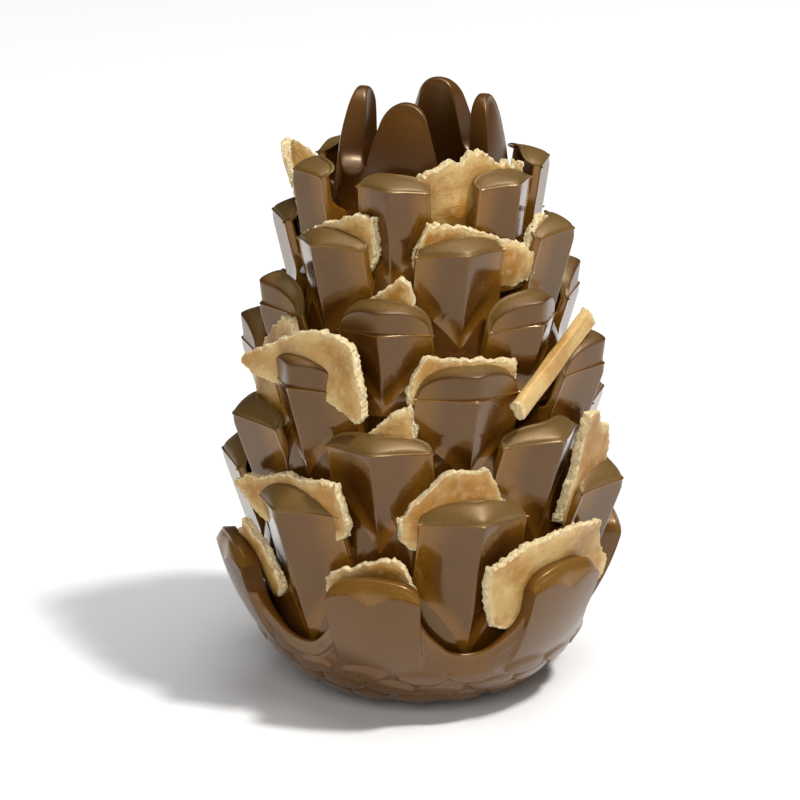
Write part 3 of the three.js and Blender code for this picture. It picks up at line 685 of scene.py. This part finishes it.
def treat(node, azimuth, out, up, lean, bend, columns, seed, jag=1.0, toast_and_shade=0.9, blister=None):
    """A broken sheet. Its columns give the lower and upper edge along its width, and between them both edges
    run straight with random teeth, whose size goes by jag. The front and back are grids half a thickness out
    and in, and a rim joins them. Every point then moves by random amounts in space, which are strong near
    the broken edges and faint on the faces. toast_and_shade is how strongly the faces are browned, by
    toasting and by painted shade where the sheet sits against the rubber. A blister, given as sideways
    distance, height and radius, bulges both faces outwards and toasts them more."""
    side_stops, low_stops, high_stops = np.array(columns, float).T
    width = side_stops[-1] - side_stops[0]
    deep = float((high_stops - low_stops).max())
    cols, levels = int(width / 0.36) + 8, int(deep / 0.38) + 8
    side = side_stops[0] + width * crowded(cols)
    edge_point = np.stack([side, 0 * side, 0 * side], -1)
    ends = smooth((side - side_stops[0]) / 1.5) * smooth((side_stops[-1] - side) / 1.5)
    teeth = (0.30 * grit(edge_point, 3.1, seed) + 0.42 * grit(edge_point, 0.7, seed + 1)) * jag
    high = np.interp(side, side_stops, high_stops) + teeth
    low = np.interp(side, side_stops, low_stops) + 0.5 * (0.5 * grit(edge_point, 1.9, seed + 2) - 0.2) * ends
    low = np.minimum(low, high - 0.8)
    level = crowded(levels)[:, None]
    height = low + (high - low) * level
    wide = side + 0 * height
    level_point = np.stack([0 * height, height, 0 * height + 9.0], -1)
    wide = wide + 0.45 * jag * grit(level_point, 1.6, seed + 3) * (1 - ends)
    curl = 0.7 * grit(np.stack([wide, height, 0 * wide], -1), 9.0, seed + 4)
    centre = out + lean * height - bend * wide ** 2 + curl
    to_side = np.minimum(wide - side_stops[0], side_stops[-1] - wide)
    gap = np.minimum(to_side, np.minimum(high - height, height - low))
    swollen = TREAT_THICK / 2 - 0.15 * bump(gap / 0.5)

    def outline(grid):
        return np.concatenate([grid[0], grid[1:-1, -1], grid[-1, ::-1], grid[-2:0:-1, 0]])

    depth = np.linspace(1, -1, 10)[:, None]
    path_s, path_o, path_u, path_t = (outline(grid) for grid in (wide, centre, height, swollen))
    belly = 0.08 * (1 - depth ** 2)
    middle_s, middle_u = wide.mean(), height.mean()
    away = np.stack([path_s - middle_s, path_u - middle_u], -1)
    away = away / np.maximum(np.linalg.norm(away, axis=-1, keepdims=True), 1e-6)
    rim_up = up + (path_u + belly * away[:, 1])
    rim = stood(azimuth, path_s + belly * away[:, 0], path_o + path_t * depth, rim_up)
    at_rim = np.zeros(rim.shape[:2])
    raised = 0 * gap
    if blister:
        off = np.linalg.norm(np.stack([wide - blister[0], height - blister[1]], -1), axis=-1)
        raised = smooth(1.3 - off / blister[2])
    outwards = turned(azimuth, 1.0, 0.0)
    front = stood(azimuth, wide, centre + swollen, up + height)
    back = stood(azimuth, wide, centre - swollen, up + height)
    parts = []
    for grid, near, bulge, closed in ((front, gap, raised, False), (back, gap, raised, False),
                                      (rim, at_rim, at_rim, True)):
        rough = bump(near / 0.55)
        for size, reach, quiet in TREAT_GRAIN:
            shift = np.stack([grit(grid, size, seed + 10 + axis) for axis in range(3)], -1)
            grid = grid + shift * (quiet + (reach - quiet) * rough)[..., None]
        crumb = np.clip(smooth(1.05 - near / 0.7) + 0.3 * grit(grid, 1.0, seed + 20), 0, 1)
        patchy = grit(grid, 4.0, seed + 21)
        # Brown that deepens away from the broken edges and in random patches: partly toasting, and partly
        # painted shade where the sheet sits against the rubber.
        rosy = 0.35 * smooth(0.4 + patchy) + (0.9 + 0.3 * patchy) * smooth((near - 0.8) / 1.9)
        rosy = rosy * toast_and_shade + 0.8 * bulge
        grid = grid + 0.7 * bulge[..., None] * outwards
        parts.append((grid, (crumb, np.clip(rosy * (1 - 0.6 * crumb), 0, 1)), closed))
    piece = skin(node + "_baked", parts, baked, ("crumb", "toast_and_shade"))
    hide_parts(node)
    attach(piece, "root")


treat("treat_top_left", -103.4, 26.1, 105.6, 0.22, 0.016,
      [(-8, -8, 7), (-4, -8, 10.3), (0, -8, 12), (3, -8, 11.4), (5, -2, 4)], 100, toast_and_shade=0.6)
treat("treat_top_jagged", 27.65, 20.1, 112, 0.05, 0.014,
      [(-12, -4, 4), (-9.4, -7, 5), (-6.8, -8, 7.2), (-2, -9, 7), (0, -9, 9.3), (4, -9, 7.9), (8.2, -7, 5.5),
       (13.8, -4, 5.2)], 140, jag=2.2, toast_and_shade=0.35, blister=(-2.3, -3.0, 3.2))
treat("treat_tier5_left", -43.75, 26.15, 105.6, 0.15, 0.016,
      [(-12, -8, -5), (-9.9, -8, -3.6), (-3.5, -9, -0.2), (3.9, -9, 2.3), (8.3, -8.5, 3.5),
       (10.2, -6, 3.5)], 180, toast_and_shade=0.75)
treat("treat_tier5_front", 16.6, 26.1, 105.6, 0.15, 0.016,
      [(-9, -8, -3), (-6.5, -9, 2.3), (0, -9, 1.3), (5, -9, 0), (10, -14, -2.1), (15, -12.5, -4.1),
       (18.5, -11.5, -7.7)], 220)
treat("treat_tier5_right", 66.5, 26.2, 105.6, 0.15, 0, [(-4.3, -6, -2.2), (0, -8, 0.3), (3.3, -8, -1)], 260)
treat("treat_tier4_point", -14.5, 29.4, 94.2, 0.15, 0.016,
      [(-3.5, -8, -2.2), (0, -8, 0.8), (3.2, -8, 3.3), (5, -8, 2), (6, -7, -3)], 300)
treat("treat_tier3_hood", -43.2, 35.1, 80.6, 0.1, -0.001,
      [(-18, -6, -5), (-14.3, -8, -2.6), (-6.6, -9, 1), (-0.6, -9, 4), (4.5, -9, 5.1), (9.8, -10, 5.2),
       (14.6, -12.5, 4.8), (16.5, -11, -1)], 340, toast_and_shade=0.55)
treat("treat_tier3_front", 16.45, 33.9, 80.6, 0.15, 0.016,
      [(-11.8, -9, -6.1), (-10.9, -9, -3.4), (-9, -9, 0.9), (-4.7, -9, 0.4), (0.4, -9, 0.7), (7.3, -9, -0.2),
       (11, -5, -0.9)], 380)
treat("treat_tier2_left", -62.35, 32.25, 67, 0, 0,
      [(-12.5, 0.3, 3.5), (-8.4, -8, 11), (-3, -8, 15.2), (0.9, -6, 18), (4.6, -2.5, 18.6), (6, -1, 13)], 420,
      toast_and_shade=0.7)
treat("treat_tier2_front", -14, 34.7, 67, 0.15, 0.016,
      [(-3, -9, -3), (-1.7, -9, -1.8), (1.7, -9, 1.7), (4.6, -9, 4), (6.6, -9, 5.1), (7.2, -8, 1)], 460,
      toast_and_shade=0.7)
treat("treat_tier1_hook", 62.35, 37.85, 52.6, 0.25, 0,
      [(-4.7, -10.4, 14.2), (-1, -12, 14), (2.3, -12, 10.5), (8.9, -10, 7.7), (11, -6, 3.8)], 500)
treat("treat_tier1_left", -43.15, 38.05, 52.6, 0.2, 0.004,
      [(-19, -5.1, -3.9), (-15.7, -7.5, -2.3), (-9.8, -11, -1), (-0.8, -12, 2.3), (2.2, -12, 1.2),
       (7.5, -12, 2.3), (12.6, -9, 2.8), (13.8, -6, -3.2)], 540)
treat("treat_tier1_arch", 16.85, 37.9, 52.6, 0.2, 0.016,
      [(-14.5, -9.2, -4.9), (-12.5, -11.2, -1.9), (-8.6, -11, 2.9), (-5.6, -11, 5.9), (-1.7, -11, 6.1),
       (2.2, -11, 6.6), (4, -11, 3.5), (7, -11, -1.4)], 580, jag=1.3)
treat("treat_cup_left", -60, 38.3, 35.6, 0.4, 0,
      [(-8, -3, 1.8), (-5, -9, 3), (-2, -12, 6.5), (0, -12, 3.3), (4, -8, 2.6)], 620)
treat("treat_cup_front", -13.7, 37.9, 35.6, 0.4, 0.012,
      [(-11.2, -5.8, -1.9), (-8.4, -9, 0.7), (-4.2, -9, 1.6), (0.2, -9, 3.6), (5.3, -9, 4.5), (6.5, -9, 1.6),
       (7.6, -7, -3.1)], 660, jag=1.3)
treat("treat_cup_right", 47.65, 38.5, 35.6, 0.3, 0.002,
      [(-21.5, 1.5, 3.2), (-19, -4.6, 3.6), (-15.5, -11.6, 5), (-11.6, -13.2, 6.3), (-1.5, -12, 7.3),
       (5, -12, 7.3), (11, -11, 6.3), (15, -10, -0.8), (19, -9, -5)], 700, toast_and_shade=0.3)
treat("treat_back_cup", 166.3, 37.9, 35.6, 0.4, 0.012,
      [(-8, -7, 1), (-5, -9, 3.2), (0, -9, 4.6), (5, -9, 3), (9, -7, 2.2)], 740)
treat("treat_back_tier1", 137.2, 38.1, 52.6, 0.2, 0.012,
      [(-13, -7, -2), (-8, -11, 3), (-3, -11, 6.4), (3, -11, 4.4), (8, -11, 1), (11, -7, -3)], 780)
treat("treat_back_tier2", 106.35, 34.8, 67, 0.15, 0.014,
      [(-6, -8, 1), (-2, -9, 3.8), (2, -9, 2.8), (7, -9, 4.6), (10, -7, -1)], 820, toast_and_shade=0.6)
treat("treat_back_tier3", -163.2, 34.3, 80.6, 0.15, 0.008,
      [(-13, -9, -2), (-8, -9, 2.6), (-1, -9, 5), (5, -9, 3.6), (10, -8, 0.5), (13, -7, -4)], 860)
treat("treat_back_tier4", 165.5, 29.6, 94.2, 0.15, 0.016,
      [(-8, -8, -1), (-4, -8, 2.8), (1, -8, 3.6), (6, -8, 1.4), (9, -7, -2)], 900, toast_and_shade=0.6)
treat("treat_back_tier5", 136.6, 26.2, 105.6, 0.15, 0.016,
      [(-9, -8, -3), (-4, -9, 2.4), (1, -9, 4.2), (6, -9, 2), (10, -7, -2)], 940)


# One treat is a straight stick, wedged between two scales on the right. Its long sides are smooth and
# fibrous, and its two ends are broken square.
STICK_LOW = turned(31.5, 38.0, 69.9)
STICK_HIGH = turned(73.0, 36.6, 84.2)
STICK_HALF = 2.2
STICK_THICK = 2.4
length_line = STICK_HIGH - STICK_LOW
stick_length = np.linalg.norm(length_line)
along_stick = length_line / stick_length
outwards = (STICK_LOW + STICK_HIGH) * (1, 1, 0)
outwards = outwards / np.linalg.norm(outwards)
across_stick = np.cross(outwards, along_stick)
across_stick = across_stick / np.linalg.norm(across_stick)
deep_stick = np.cross(along_stick, across_stick)
turn_round = np.linspace(0, 2 * np.pi, 41)[:-1]
section_a = np.sign(np.cos(turn_round)) * np.abs(np.cos(turn_round)) ** 0.45 * STICK_HALF
section_b = np.sign(np.sin(turn_round)) * np.abs(np.sin(turn_round)) ** 0.45 * STICK_THICK / 2
travel = stick_length * crowded(76)[:, None, None]
tube = (STICK_LOW + along_stick * travel + across_stick * section_a[None, :, None]
        + deep_stick * section_b[None, :, None])
fibre = np.stack([tube @ across_stick, tube @ deep_stick, (tube @ along_stick) * 0.12], -1)
deep_grain = grit(fibre, 0.6, 60)[..., None]
across_grain = grit(fibre, 0.8, 61)[..., None]
tube = tube + (deep_stick * 0.22 * deep_grain + across_stick * 0.18 * across_grain)
ends = []
for ring in (tube[:1], tube[-1:]):
    middle = ring.mean(axis=1, keepdims=True)
    ends.append(np.concatenate([middle + (ring - middle) * k for k in (0.002, 0.4, 0.75, 1.0)]))
whole = np.concatenate([ends[0][:-1], tube, ends[1][:-1][::-1]])
reached = whole @ along_stick
from_end = np.minimum(reached - STICK_LOW @ along_stick, STICK_HIGH @ along_stick - reached)
rough = bump(from_end / 0.9)
whole = whole + 0.35 * rough[..., None] * np.stack([grit(whole, 0.8, 62 + axis) for axis in range(3)], -1)
stick = skin("treat_stick_baked", [(whole, (0.8 * rough, 0.25 + 0 * rough), True)], baked, ("crumb", "toast_and_shade"))
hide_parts("treat_stick")
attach(stick, "root")
